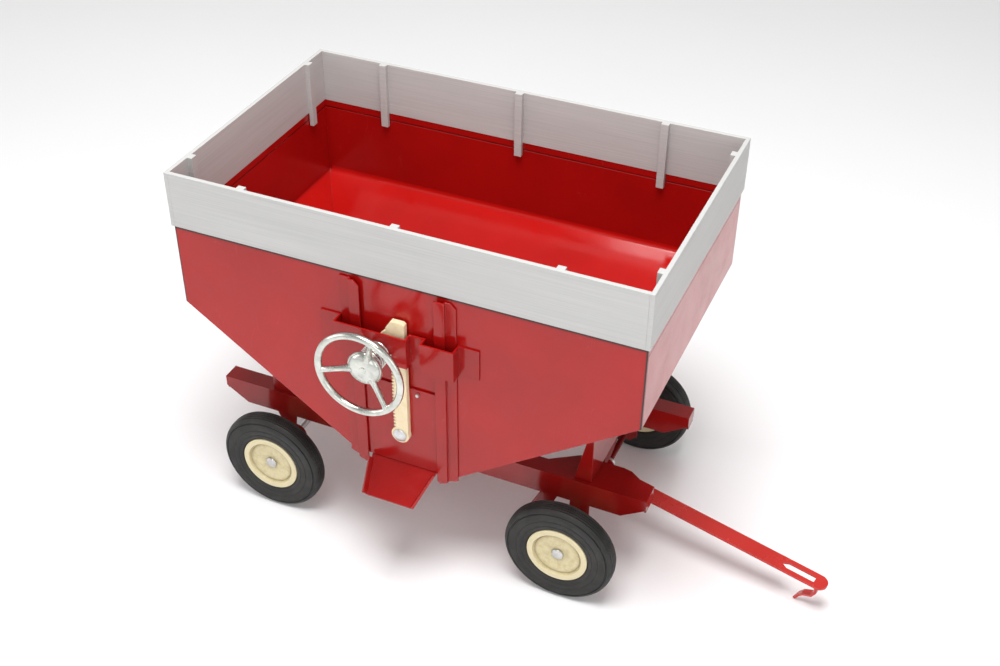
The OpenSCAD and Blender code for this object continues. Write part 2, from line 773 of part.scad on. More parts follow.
// A rear hanger: a single leg that runs down into its eye
module rear_hanger() {
    leg_rear_x = rear_axle_x - 9.8;
    leg_front_x = rear_axle_x + 1;
    difference() {
        union() {
            polygon([[leg_rear_x, rail_foot_z + 6], [leg_rear_x, rail_foot_z],
                [rear_axle_x - hanger_eye_r, axle_z], [rear_axle_x, axle_z + hanger_eye_r - 0.1],
                [leg_front_x, rail_foot_z], [leg_front_x, rail_foot_z + 6]]);
            translate([rear_axle_x, axle_z]) circle(r = hanger_eye_r);
        }
        translate([rear_axle_x, axle_z]) circle(r = axle_r);
    }
}

front_legs = [front_axle_x - 17.2, front_axle_x - 9.3, front_axle_x - 3.7, front_axle_x + 5.4];

module front_near_hanger() {
    color(gear_red) place() plate_y(-hanger_y, -hanger_y + gear_t) front_hanger(front_legs);
}

module front_far_hanger() {
    color(gear_red) place() plate_y(hanger_y - gear_t, hanger_y) front_hanger(front_legs);
}

module rear_near_hanger() {
    color(gear_red) place() plate_y(-hanger_y, -hanger_y + gear_t) rear_hanger();
}

module rear_far_hanger() {
    color(gear_red) place() plate_y(hanger_y - gear_t, hanger_y) rear_hanger();
}

// ---------------------------------------------------------------- axles and wheels

crimp_y = wheel_out_y - tyre_w - 2;

// A rod with a domed head outside each wheel and a swelling that keeps each wheel out
module axle(x) {
    head_r = 2.7;
    head_h = 0.8;
    color(bright_steel) place() translate([x, 0, axle_z]) {
        bar_y(0, 0, axle_r, -axle_half, axle_half);
        for (side = [-1, 1]) {
            rotate([0, 0, side > 0 ? 180 : 0]) translate([0, -axle_half, 0]) lathe_y()
                polygon([[0, 0], [head_r, 0], [head_r, head_h * 0.5], [head_r * 0.8, head_h * 0.85],
                    [head_r * 0.5, head_h], [0, head_h]]);
            translate([0, side * crimp_y, 0]) lathe_y()
                polygon([[0, -1.2], [axle_r, -1.2], [axle_r + 0.6, -0.6], [axle_r + 0.6, 0.6],
                    [axle_r, 1.2], [0, 1.2]]);
        }
    }
}

module front_axle() {
    axle(front_axle_x);
}

module rear_axle() {
    axle(rear_axle_x);
}

// The rim of a near wheel: a flat ring, a stepped recess and a shallow dish, with a hub behind.
// Distances run outwards from the wheel's inner face
module rim_outline() {
    ring_w = 2.7;
    bore = axle_r + run_gap;
    hub_out = tyre_w - hub_face_in;
    polygon([[bore, 0], [bore + 2.4, 0], [bore + 2.4, tyre_w - 6], [rim_r - 4.4, tyre_w - 7.2],
        [rim_r - 2, 1.2], [rim_r, 1.2], [rim_r, tyre_w - 0.3], [rim_r - 0.3, tyre_w],
        [rim_r - ring_w, tyre_w], [rim_r - ring_w - 0.4, hub_out - 0.7], [rim_r - ring_w - 1.3, hub_out - 0.7],
        [rim_r - ring_w - 1.7, hub_out - 0.2], [bore + 3.4, hub_out], [bore, hub_out]]);
}

// A tyre's section: rounded shoulders, three sidewall ribs and a grooved tread
module tyre_outline() {
    shoulder = 3;
    groove = 0.7;
    depth = 0.5;
    function arc(cx, cy, r, from, to) = [for (a = [from:(to - from) / 6:to]) [cx + r * cos(a), cy + r * sin(a)]];
    difference() {
        polygon(concat([[rim_r, 0.6]], [[rim_r + 2, 0]],
            arc(tyre_r - shoulder, shoulder, shoulder, -90, 0),
            arc(tyre_r - shoulder, tyre_w - shoulder, shoulder, 0, 90),
            [[rim_r + 2, tyre_w], [rim_r, tyre_w - 0.6]]));
        for (y = [tyre_w / 2 - 2.4, tyre_w / 2 - 0.35, tyre_w / 2 + 1.7])
            translate([tyre_r - depth, y]) square([past, groove]);
        for (x = [rim_r + 3, rim_r + 5.2])
            translate([x, tyre_w - 0.3]) square([groove, past]);
    }
}

// Puts a wheel's piece on its axle; side is -1 for the near side and 1 for the far side
module at_wheel(x, side) {
    translate([x, side * (wheel_out_y - tyre_w), axle_z]) rotate([0, 0, side > 0 ? 180 : 0])
        lathe_y() children();
}

module front_near_rim() {
    color(cream) place() at_wheel(front_axle_x, -1) rim_outline();
}

module front_far_rim() {
    color(cream) place() at_wheel(front_axle_x, 1) rim_outline();
}

module rear_near_rim() {
    color(cream) place() at_wheel(rear_axle_x, -1) rim_outline();
}

module rear_far_rim() {
    color(cream) place() at_wheel(rear_axle_x, 1) rim_outline();
}

module front_near_tyre() {
    color("dimgray") place() at_wheel(front_axle_x, -1) tyre_outline();
}

module front_far_tyre() {
    color("dimgray") place() at_wheel(front_axle_x, 1) tyre_outline();
}

module rear_near_tyre() {
    color("dimgray") place() at_wheel(rear_axle_x, -1) tyre_outline();
}

module rear_far_tyre() {
    color("dimgray") place() at_wheel(rear_axle_x, 1) tyre_outline();
}

// ---------------------------------------------------------------- tongue

// The drawbar's own frame: its origin on the front axle, X along its droop
module drawbar_frame() {
    translate([front_axle_x, 0, axle_z]) rotate([0, tongue_droop, 0]) children();
}

clevis_out = clevis_in / 2 + gear_t;
base_top = -tongue_t / 2 - clevis_gap;

// Two rings on the front axle keep the clevis in the middle
module axle_collars() {
    color(bright_steel) place() translate([front_axle_x, 0, axle_z]) for (side = [-1, 1])
        rotate([0, 0, side > 0 ? 180 : 0]) translate([0, -clevis_out - slide_gap, 0]) lathe_y() difference() {
            square([axle_r + 1.6, 2.2]);
            square([axle_r, 2.2]);
        }
}

// A folded clevis: two ears on the front axle and a base that carries the tongue
module tongue_clevis() {
    eye_r = axle_r + 2.4;
    base_w = 2 * clevis_out;
    reach = rivet_reach + 3;
    color(gear_red) place() drawbar_frame() difference() {
        union() {
            block([-eye_r, -base_w / 2, base_top - gear_t], [rivet_reach, base_w / 2, base_top]);
            translate([rivet_reach, 0, base_top - gear_t]) intersection() {
                cylinder(r = base_w / 2, h = gear_t);
                block([-past, -base_w, -past], [reach, base_w, past + gear_t]);
            }
            for (y = [-clevis_out, clevis_in / 2])
                plate_y(y, y + gear_t) {
                    circle(r = eye_r);
                    polygon([[-eye_r, 0], [-eye_r, base_top - gear_t], [eye_r, base_top - gear_t], [eye_r, 0]]);
                }
        }
        bar_y(0, 0, axle_r + run_gap, -clevis_out - past, clevis_out + past);
        translate([rivet_reach, 0, base_top - gear_t - past]) cylinder(r = rivet_r, h = gear_t + 2 * past);
    }
}

// The upright rivet that the tongue swings on
module tongue_rivet() {
    head_r = 2.4;
    head_h = 0.8;
    top = tongue_t / 2 + clevis_gap;
    foot = base_top - gear_t;
    color(gear_red) place() drawbar_frame() translate([rivet_reach, 0, 0]) rotate_extrude()
        polygon([[0, foot - head_h], [head_r * 0.7, foot - head_h], [head_r, foot - head_h * 0.4],
            [head_r, foot], [rivet_r, foot], [rivet_r, top], [head_r, top], [head_r, top + head_h * 0.4],
            [head_r * 0.7, top + head_h], [0, top + head_h]]);
}

// The hook's path in the tongue's own upright plane, from the slot's end down and back
hook_path = [[0, 0], [1.1, -0.16], [1.2, -0.33], [0.2, -0.5], [-0.5, -0.62], [-0.75, -0.76], [-1, -1]];

// A flat strip with a round tip and a pointed slot; the slot's own metal is the hook
module tongue() {
    path = [for (p = hook_path) [hook_x + p[0] * (p[0] > 0 ? 1.2 : hook_back), p[1] * hook_drop]];
    point = 3;
    color(gear_red) place() drawbar_frame() translate([rivet_reach, 0, 0]) rotate([0, 0, -tongue_yaw]) {
        translate([0, 0, -tongue_t / 2]) linear_extrude(tongue_t) difference() {
            union() {
                translate([0, -tongue_r]) square([tongue_len, tongue_w]);
                circle(r = tongue_r);
                translate([tongue_len, 0]) circle(r = tongue_r);
            }
            circle(r = rivet_r + run_gap);
            polygon([[hook_x, -slot_w / 2], [hook_x, slot_w / 2], [hook_x - slot_len + point, slot_w / 2],
                [hook_x - slot_len, 0], [hook_x - slot_len + point, -slot_w / 2]]);
        }
        intersection() {
            plate_y(-slot_w / 2, slot_w / 2) folded(path, tongue_t);
            rotate([0, 90, 0]) linear_extrude(2 * tongue_len) polygon([[-tongue_t, -slot_w / 2],
                [-tongue_t, slot_w / 2], [hook_drop * 0.55, slot_w / 2], [hook_drop + 1, 0.35],
                [hook_drop + 1, -0.35], [hook_drop * 0.55, -slot_w / 2]]);
        }
    }
}

// ---------------------------------------------------------------- nodes

near_panel();
far_wall();
back_floor();
left_end_wall();
left_floor();
right_end_wall();
right_floor();
left_guide();
right_guide();
wheel_bracket();
spout();
gate_plate();
gate_rack();
rack_rivet();
gate_stop_stud();
pinion();
handwheel_shaft();
handwheel_spring();
handwheel();
near_sideboard();
far_sideboard();
left_sideboard();
right_sideboard();
near_rail();
far_rail();
front_bolster();
rear_bolster();
bolster_apron();
front_near_hanger();
front_far_hanger();
rear_near_hanger();
rear_far_hanger();
front_axle();
rear_axle();
axle_collars();
front_near_rim();
front_far_rim();
rear_near_rim();
rear_far_rim();
front_near_tyre();
front_far_tyre();
rear_near_tyre();
rear_far_tyre();
tongue_clevis();
tongue_rivet();
tongue();
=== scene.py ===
# %% [markdown]
# # A toy gravity wagon, finished in Blender
# The wagon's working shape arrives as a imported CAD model: every sheet, rod and wheel is in its place,
# in metres, with +X towards the tongue, +Y away from the gate and +Z up. What it lacks is looks. Real
# pressed steel has rounded edges and glossy paint, tyres have ribs, and printed boards show layers.
# This lesson keeps every size and adds those things, one family of parts at a time.

# %% Load the frame and the tools
import json
import math

import bmesh
import bpy
from mathutils import Matrix, Vector

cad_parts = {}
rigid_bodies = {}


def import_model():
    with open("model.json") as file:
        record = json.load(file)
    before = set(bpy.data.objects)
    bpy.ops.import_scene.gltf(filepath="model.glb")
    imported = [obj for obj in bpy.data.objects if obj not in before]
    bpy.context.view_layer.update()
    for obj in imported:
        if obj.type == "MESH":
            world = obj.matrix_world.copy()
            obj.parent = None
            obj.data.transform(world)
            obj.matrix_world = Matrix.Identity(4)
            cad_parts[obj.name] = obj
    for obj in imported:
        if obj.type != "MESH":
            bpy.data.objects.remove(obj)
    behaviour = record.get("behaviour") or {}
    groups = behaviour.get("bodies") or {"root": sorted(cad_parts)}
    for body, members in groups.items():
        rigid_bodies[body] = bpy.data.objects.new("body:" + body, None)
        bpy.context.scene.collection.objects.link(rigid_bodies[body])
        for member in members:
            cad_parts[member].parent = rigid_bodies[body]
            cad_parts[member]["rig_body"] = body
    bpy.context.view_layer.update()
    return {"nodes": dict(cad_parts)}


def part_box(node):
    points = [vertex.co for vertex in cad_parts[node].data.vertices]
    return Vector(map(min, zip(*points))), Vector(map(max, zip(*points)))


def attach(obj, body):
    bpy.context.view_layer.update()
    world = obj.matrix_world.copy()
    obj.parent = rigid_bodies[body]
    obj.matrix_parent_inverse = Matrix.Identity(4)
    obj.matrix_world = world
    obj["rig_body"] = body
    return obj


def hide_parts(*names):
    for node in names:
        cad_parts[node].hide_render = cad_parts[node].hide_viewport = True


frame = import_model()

MM = 0.001

# %% [markdown]
# ## Camera
# A camera is a place, a direction and a lens. Here the place and the three axes are known, so they go
# straight into the camera's matrix: its columns are right, up and back. A 49.3 mm lens on a 36 mm
# sensor sees about forty degrees, which is how a wagon on a table looks from half a metre away. A
# Track To constraint could aim the camera instead, but it can't hold the slight roll of a hand.

# %% Camera
CAMERA_PLACE = Vector((0.17402, -0.43216, 0.45003))
CAMERA_RIGHT = Vector((0.915564, 0.402087, 0.008260))
CAMERA_UP = Vector((-0.246651, 0.545172, 0.801218))
CAMERA_BACK = Vector((0.317657, -0.735604, 0.598315))

scene = bpy.context.scene
camera_data = bpy.data.cameras.new("table_camera")
camera_data.lens = 49.295
camera_data.sensor_width = 36
camera_data.dof.use_dof = False
camera = bpy.data.objects.new("table_camera", camera_data)
scene.collection.objects.link(camera)
turn = Matrix((CAMERA_RIGHT, CAMERA_UP, CAMERA_BACK)).transposed()
camera.matrix_world = Matrix.Translation(CAMERA_PLACE) @ turn.to_4x4()
scene.camera = camera
print("camera at", [round(v, 3) for v in camera.location])

# %% [markdown]
# ## Nodes by hand
# Every finish below is a small graph of shader nodes. Adding a node by its type, setting its menus
# and joining its sockets takes four lines each time, so one helper does all three. A socket is given
# by its name, or by its place in the list where several sockets share a name, as in the Mix node. A
# value is set on the socket, and another node's output is linked to it.

# %% Node helper
def add_node(tree, kind, settings=None, **sockets):
    """Adds a shader node. Sockets are given by name, with _ for a space, or as in0, in1 by place."""
    made = tree.nodes.new(kind)
    for key, value in (settings or {}).items():
        setattr(made, key, value)
    for key, value in sockets.items():
        place = int(key[2:]) if key[:2] == "in" and key[2:].isdigit() else key.replace("_", " ")
        socket = made.inputs[place]
        if isinstance(value, bpy.types.NodeSocket):
            tree.links.new(value, socket)
        else:
            socket.default_value = value
    return made


print("helper: add_node")

# %% [markdown]
# ## Studio surround
# Small shiny things show whatever is around them, so the surround matters as much as the lamps. In a
# studio, white cloth hangs on all sides. Here the world's colour does that job: bright near the
# table's level and dimmer overhead, because the sloping floor of the hopper looks straight up and
# would otherwise lose its red. The standard view transform keeps the reds as saturated as the paint.

# %% Studio surround
SKY_LOW, SKY_HIGH = 0.95, 0.3

scene.view_settings.view_transform = "Standard"
world = bpy.data.worlds.new("studio")
scene.world = world
world.use_nodes = True
sky = world.node_tree
sky.nodes.clear()
direction = add_node(sky, "ShaderNodeTexCoord")
height = add_node(sky, "ShaderNodeSeparateXYZ", Vector=direction.outputs["Generated"])
glow = add_node(sky, "ShaderNodeMapRange", Value=height.outputs["Z"], From_Min=0.0, From_Max=0.85,
                To_Min=SKY_LOW, To_Max=SKY_HIGH)
ambient = add_node(sky, "ShaderNodeBackground", Color=(1.0, 0.985, 0.975, 1), Strength=glow.outputs[0])
add_node(sky, "ShaderNodeOutputWorld", Surface=ambient.outputs[0])
print("surround glows", SKY_LOW, "at the table and", SKY_HIGH, "overhead")

# %% [markdown]
# ## Soft panels
# Four square panels stand in for softboxes. A large panel close to a small toy gives soft shadows and
# long clean reflections. The one overhead is the main light and is the smallest, so the shadow under
# the wagon keeps its shape; the other three fill the front and both ends.

# %% Soft panels
def soft_panel(name, place, target, size, power):
    """A square area light that faces its target."""
    data = bpy.data.lights.new(name, "AREA")
    data.size = size
    data.energy = power
    made = bpy.data.objects.new(name, data)
    made.location = place
    made.rotation_euler = (Vector(target) - Vector(place)).to_track_quat("-Z", "Y").to_euler()
    scene.collection.objects.link(made)
    return made


WAGON_MIDDLE = (0, 0, 0.05)
soft_panel("overhead_panel", (0.03, -0.18, 0.95), WAGON_MIDDLE, 0.46, 9.4)
soft_panel("front_panel", (0.2, -1.2, 0.6), (0, 0, 0.06), 0.8, 2.2)
soft_panel("left_panel", (-1.1, -0.5, 0.5), WAGON_MIDDLE, 0.8, 2.6)
soft_panel("right_panel", (1.1, -0.6, 0.5), WAGON_MIDDLE, 0.8, 2.2)

# %% [markdown]
# ## Table
# The table is one flat grid, far wider than the wagon, so no edge shows. Its finish still has a
# trace of cloudy texture, because a perfectly flat white gives shadows nothing to lie on.

# %% Table
TABLE_REACH = 3

table_bm = bmesh.new()
bmesh.ops.create_grid(table_bm, x_segments=4, y_segments=4, size=TABLE_REACH)
table_mesh = bpy.data.meshes.new("table")
table_bm.to_mesh(table_mesh)
table_bm.free()
table = bpy.data.objects.new("table", table_mesh)
scene.collection.objects.link(table)
print("table", 2 * TABLE_REACH, "m across,", len(table_mesh.polygons), "faces")

# %% [markdown]
# ### Table finish
# Matt white card is close to a plain diffuse surface. Low specular keeps the panels from showing as
# bright squares in it, and two near-whites wander into each other over about twenty centimetres.

# %% Table finish
table_finish = bpy.data.materials.new("white_table")
table_finish.use_nodes = True
tree = table_finish.node_tree
coat = tree.nodes["Principled BSDF"]
coat.inputs["Roughness"].default_value = 0.55
coat.inputs["Specular IOR Level"].default_value = 0.15
where = add_node(tree, "ShaderNodeTexCoord")
clouds = add_node(tree, "ShaderNodeTexNoise", Vector=where.outputs["Object"], Scale=5.0, Detail=3.0)
tint = add_node(tree, "ShaderNodeMix", {"data_type": "RGBA"}, in0=clouds.outputs["Fac"],
                in6=(0.86, 0.86, 0.87, 1), in7=(0.90, 0.90, 0.905, 1))
tree.links.new(tint.outputs[2], coat.inputs["Base Color"])
table_mesh.materials.append(table_finish)
print("table finish:", table_finish.name)

# %% [markdown]
# ## Paint and other finishes
# A finish starts with a material, its shader and its coordinates. Object coordinates are in metres
# here, so a noise of scale 600 has features of about a millimetre and a half, and the pattern stays
# where it is when the wagon is looked at from another side. Values that are the same all over, such
# as how mirror-like the coat is, go straight on the shader's own sockets.

# %% Start a finish
def start_finish(name, **sockets):
    """A new material. Constant values go on the shader's own sockets."""
    made = bpy.data.materials.new(name)
    made.use_nodes = True
    nodes = made.node_tree
    shader = nodes.nodes["Principled BSDF"]
    for key, value in sockets.items():
        shader.inputs[key.replace("_", " ")].default_value = value
    place = add_node(nodes, "ShaderNodeTexCoord").outputs["Object"]
    return made, nodes, shader, place


print("helper: start_finish")

# %% [markdown]
# ### Mixing and measuring
# Four tiny helpers do most of the work inside a finish. One mixes two colours by a share, one maps a
# range of values onto another and holds it at both ends, one multiplies, and one gives the distance
# of a value from a fixed number. Written out as nodes they are always the same few boxes.

# %% Mixing and measuring
def mixed(nodes, share, low, high):
    """A colour that goes from low to high with share."""
    made = add_node(nodes, "ShaderNodeMix", {"data_type": "RGBA"}, in0=share)
    for place, value in ((6, low), (7, high)):
        if isinstance(value, bpy.types.NodeSocket):
            nodes.links.new(value, made.inputs[place])
        else:
            made.inputs[place].default_value = (*value, 1)
    return made.outputs[2]


def ranged(nodes, value, low, high, out_low=0.0, out_high=1.0):
    """Maps a value's range onto another, and holds it at both ends."""
    made = add_node(nodes, "ShaderNodeMapRange", Value=value, From_Min=low, From_Max=high,
                    To_Min=out_low, To_Max=out_high)
    return made.outputs[0]


def math_node(nodes, operation, *values):
    """One arithmetic step."""
    given = {f"in{i}": value for i, value in enumerate(values)}
    return add_node(nodes, "ShaderNodeMath", {"operation": operation}, **given).outputs[0]


def product(nodes, a, b):
    return math_node(nodes, "MULTIPLY", a, b)


def off_from(nodes, value, target):
    """How far a value is from a fixed number, either way."""
    return math_node(nodes, "ABSOLUTE", math_node(nodes, "SUBTRACT", value, target))


print("helpers: mixed, ranged, product, off_from")

# %% [markdown]
# ### Noise and bump
# Noise is the starting point of almost every natural variation, and a bump node turns the same noise
# into small hills that catch the light. Stretching the coordinates first turns round blobs into
# streaks or brushed grain. Bumps can be stacked: each one starts from the normal of the one under it.

# %% Noise and bump
def noise(nodes, place, scale, detail=3.0, rough=0.5, stretch=None):
    """Noise with features of about 1/scale metres, stretched along an axis if asked."""
    if stretch:
        place = add_node(nodes, "ShaderNodeMapping", Vector=place, Scale=stretch).outputs[0]
    made = add_node(nodes, "ShaderNodeTexNoise", Vector=place, Scale=scale, Detail=detail,
                    Roughness=rough)
    return made.outputs["Fac"]


def bumped(nodes, shader, height, strength, distance=0.0002, under=None):
    """Raises the surface a little where height is large."""
    made = add_node(nodes, "ShaderNodeBump", Strength=strength, Distance=distance, Height=height)
    if under:
        nodes.links.new(under, made.inputs["Normal"])
    nodes.links.new(made.outputs[0], shader.inputs["Normal"])
    return made.outputs[0]


print("helpers: noise, bumped")

# %% [markdown]
# ### Wear in the enamel
# Years of play leave two marks on gloss enamel. Hairline scratches show the paler paint under the
# glaze: they are the zero line of a stretched noise, kept only in some places. Thin spots along the
# edges show dark: a Bevel node gives the normal that a rounded edge would have, and where that
# differs from the true normal, there is an edge.

# %% Wear in the enamel
def scratched(nodes, place, body, fresh, wear):
    """Pale hairlines over the body colour."""
    line = noise(nodes, place, 120, 2, 0.6, stretch=(1.0, 1.0, 0.16))
    hair = ranged(nodes, off_from(nodes, line, 0.5), 0.0, 0.004, 1.0, 0.0)
    some = ranged(nodes, noise(nodes, place, 45, 2), 0.56, 0.66)
    scratch = product(nodes, product(nodes, hair, some), wear * 0.5)
    return mixed(nodes, scratch, body, tuple(min(1.0, c * 1.15 + 0.05) for c in fresh))


def chipped(nodes, place, body, deep, wear):
    """Dark thin spots along the edges."""
    rounded = add_node(nodes, "ShaderNodeBevel", {"samples": 4}, Radius=0.4 * MM).outputs[0]
    true = add_node(nodes, "ShaderNodeNewGeometry").outputs["Normal"]
    match = add_node(nodes, "ShaderNodeVectorMath", {"operation": "DOT_PRODUCT"}, in0=rounded, in1=true)
    edge = ranged(nodes, match.outputs["Value"], 0.985, 0.86)
    thin = ranged(nodes, noise(nodes, place, 260, 4, 0.7), 0.55, 0.63)
    spots = product(nodes, product(nodes, edge, thin), wear)
    return mixed(nodes, spots, body, tuple(c * 0.25 + 0.02 for c in deep))


print("helpers: scratched, chipped")

# %% [markdown]
# ### Red enamel
# Pressed-steel toys are dipped or sprayed with a thick gloss enamel. Close up it has orange peel, a
# faint ripple a millimetre or two across, over slow waves, and its haze comes and goes. Some sheets
# also carry a dark line of painted shade: in the seam at a panel's ends, a painted shadow under the
# boards, or in the fold of the hem where the rim is folded back. Those are painted, because each is
# thinner than the sheet's own bend.

# %% Red enamel
# Colours of painted shade: in the seams, under the boards and in the hem's fold.
SEAM_SHADE = (0.035, 0.010, 0.009)
BOARD_SHADOW_COLOUR = (0.05, 0.006, 0.005)
HEM_SHADOW = (0.06, 0.004, 0.003)


def enamel(name, fresh, deep, gloss=0.14, wear=0.5, mirror=0.46, seam=None, hem=None, board_shadow=None):
    """Gloss enamel. A seam (middle, reach) darkens both ends along X with painted shade, a hem is a
    line of painted shade with a groove at a height, and a painted shadow from the boards lies above
    another height."""
    made, nodes, shader, place = start_finish(name, Roughness=gloss, Specular_IOR_Level=mirror)
    patches = ranged(nodes, noise(nodes, place, 28, 4), 0.35, 0.7)
    body = mixed(nodes, patches, fresh, deep)
    body = scratched(nodes, place, body, fresh, wear)
    body = chipped(nodes, place, body, deep, wear)
    at = add_node(nodes, "ShaderNodeSeparateXYZ", Vector=place).outputs
    # Painted shade: a dark line in the seams at both ends of the panel.
    if seam:
        middle_x, reach = seam
        out = off_from(nodes, at["X"], middle_x)
        body = mixed(nodes, ranged(nodes, out, reach - 0.2 * MM, reach + 0.1 * MM), body, SEAM_SHADE)
    # Painted shadow: a dark band on the panel just under the boards' overhang.
    if board_shadow:
        body = mixed(nodes, ranged(nodes, at["Z"], board_shadow - 0.6 * MM, board_shadow), body, BOARD_SHADOW_COLOUR)
    sheen = ranged(nodes, noise(nodes, place, 70, 5, 0.65), 0.3, 0.75, gloss * 0.7, gloss * 1.7)
    nodes.links.new(sheen, shader.inputs["Roughness"])
    peel = bumped(nodes, shader, noise(nodes, place, 520, 2), 0.10, 0.06 * MM)
    waves = bumped(nodes, shader, noise(nodes, place, 60, 2), 0.10, 0.3 * MM, under=peel)
    # Painted shade: a dark line in the fold of the hem, beside a bumped groove.
    if hem:
        off = off_from(nodes, at["Z"], hem)
        faint = ranged(nodes, noise(nodes, place, 40, 3), 0.3, 0.6, 0.45, 0.9)
        dark = product(nodes, ranged(nodes, off, 0.15 * MM, 0.45 * MM, 1.0, 0.0), faint)
        body = mixed(nodes, dark, body, HEM_SHADOW)
        groove = ranged(nodes, off, 0.12 * MM, 0.5 * MM)
        bumped(nodes, shader, groove, 0.6, 0.3 * MM, under=waves)
    nodes.links.new(body, shader.inputs["Base Color"])
    return made


print("helper: enamel")

# %% [markdown]
# ### The wagon's reds
# One red paint is made in several strengths, and much of the difference is painted light and shade:
# the hopper's sloping floors, which face up to the lamp, get a lighter copy as painted light, and the
# running gear under the hopper a darker copy, partly a darker coat and partly painted shade. The tongue
# is faded by hands. The seam's place is measured on the near panel, not typed in.

# %% The wagon's reds
PANEL_PAINT = (0.36, 0.0052, 0.0045), (0.30, 0.0046, 0.004)
# Height above which the painted shadow under the boards lies.
BOARD_SHADOW_HEIGHT = 148.3 * MM
HEM_HEIGHT = 145.9 * MM

panel_low, panel_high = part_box("near_panel")
panel_ends = ((panel_low.x + panel_high.x) / 2, (panel_high.x - panel_low.x) / 2 - 0.6 * MM)
# Painted light: the sloping floors take a lighter copy of the red.
hopper_red = enamel("hopper_enamel", (0.45, 0.006, 0.0045), (0.39, 0.005, 0.004), 0.1)
panel_red = enamel("panel_enamel", *PANEL_PAINT, seam=panel_ends, board_shadow=BOARD_SHADOW_HEIGHT)
wall_red = enamel("wall_enamel", *PANEL_PAINT, hem=HEM_HEIGHT)
end_red = enamel("end_enamel", *PANEL_PAINT, 0.16, mirror=0.9, hem=HEM_HEIGHT)
fitting_red = enamel("fitting_enamel", (0.34, 0.005, 0.0045), (0.26, 0.0045, 0.004), 0.12)
# Painted shade: darker copies of the red for the running gear and the apron.
gear_red = enamel("gear_enamel", (0.27, 0.006, 0.005), (0.16, 0.005, 0.004), 0.13, 0.8)
dull_shade_red = enamel("shaded_enamel", (0.17, 0.006, 0.005), (0.10, 0.004, 0.004), 0.4, 0.8, mirror=0.12)
tongue_red = enamel("tongue_enamel", (0.52, 0.030, 0.024), (0.45, 0.022, 0.016), 0.2, 0.8)
print("enamels:", [m.name for m in bpy.data.materials if "enamel" in m.name])

# %% [markdown]
# ### Rings round an axle
# Wheels carry marks that run round their own axle, so their finishes need the distance from it. A
# Mapping node moves the hub to the origin, the part along the axle is dropped, and the length of what
# is left is the radius. Each wheel gives its own hub, because all of them share one set of axes.

# %% Rings round an axle
def axle_distance(nodes, place, centre):
    """Distance from a line along Y through centre, in metres."""
    moved = add_node(nodes, "ShaderNodeMapping", Vector=place,
                     Location=(-centre.x, -centre.y, -centre.z)).outputs[0]
    flat = add_node(nodes, "ShaderNodeVectorMath", {"operation": "MULTIPLY"}, in0=moved, in1=(1, 0, 1))
    far = add_node(nodes, "ShaderNodeVectorMath", {"operation": "LENGTH"}, in0=flat.outputs[0])
    return far.outputs["Value"], moved


print("helper: axle_distance")

# %% [markdown]
# ### Cream plastic
# The rims and the gate drive are moulded in a cream plastic that lets a little light in, so it has a
# touch of subsurface colour. It yellows in fine mottles. On a rim the flat outer ring is paler than
# the disc, and the groove between them is darkened in patches, partly dust and partly painted shade.

# %% Cream plastic
RIM_RING = (0.62, 0.55, 0.35)
RIM_GROOVE_DUST_AND_SHADE = (0.30, 0.23, 0.12)


def cream_plastic(name, centre=None, pale=(0.60, 0.53, 0.32), dull=(0.48, 0.40, 0.215)):
    """Moulded cream plastic. With a centre it also gets a rim's paler ring and a groove darkened by dust
    and painted shade.
    """
    made, nodes, shader, place = start_finish(name, Roughness=0.42, Subsurface_Weight=0.12,
                                              Subsurface_Scale=1.5 * MM)
    shader.inputs["Subsurface Radius"].default_value = (1.0, 0.7, 0.35)
    mottle = ranged(nodes, noise(nodes, place, 420, 5, 0.7), 0.42, 0.68)
    body = mixed(nodes, mottle, pale, dull)
    if centre is not None:
        far, _ = axle_distance(nodes, place, centre)
        ring = ranged(nodes, far, 11.0 * MM, 11.4 * MM)
        body = mixed(nodes, ring, body, RIM_RING)
        # Dust and painted shade: the groove inside the ring is darkened in patches.
        inner = ranged(nodes, far, 9.0 * MM, 10.4 * MM)
        outer = ranged(nodes, far, 10.6 * MM, 11.2 * MM, 1.0, 0.0)
        patchy = ranged(nodes, noise(nodes, place, 300, 4), 0.2, 0.7, 0.2, 0.7)
        body = mixed(nodes, product(nodes, product(nodes, inner, outer), patchy), body, RIM_GROOVE_DUST_AND_SHADE)
    nodes.links.new(body, shader.inputs["Base Color"])
    worn = ranged(nodes, noise(nodes, place, 200, 4), 0.3, 0.7, 0.32, 0.55)
    nodes.links.new(worn, shader.inputs["Roughness"])
    bumped(nodes, shader, noise(nodes, place, 900, 4, 0.6), 0.25, 0.12 * MM)
    return made


drive_cream = cream_plastic("drive_plastic", None, (0.79, 0.68, 0.46), (0.74, 0.61, 0.38))
print("cream plastic:", drive_cream.name)

# %% [markdown]
# ### Tyre rubber
# Toy tyres are a hard black rubber that greys as its oils bloom. The mould was turned on a lathe, so
# fine rings run round the sidewall: noise that reads only the distance from the axle makes them.

# %% Tyre rubber
BLACK, BLOOM, RING_DUST = (0.009, 0.009, 0.0085), (0.026, 0.025, 0.023), (0.045, 0.044, 0.041)


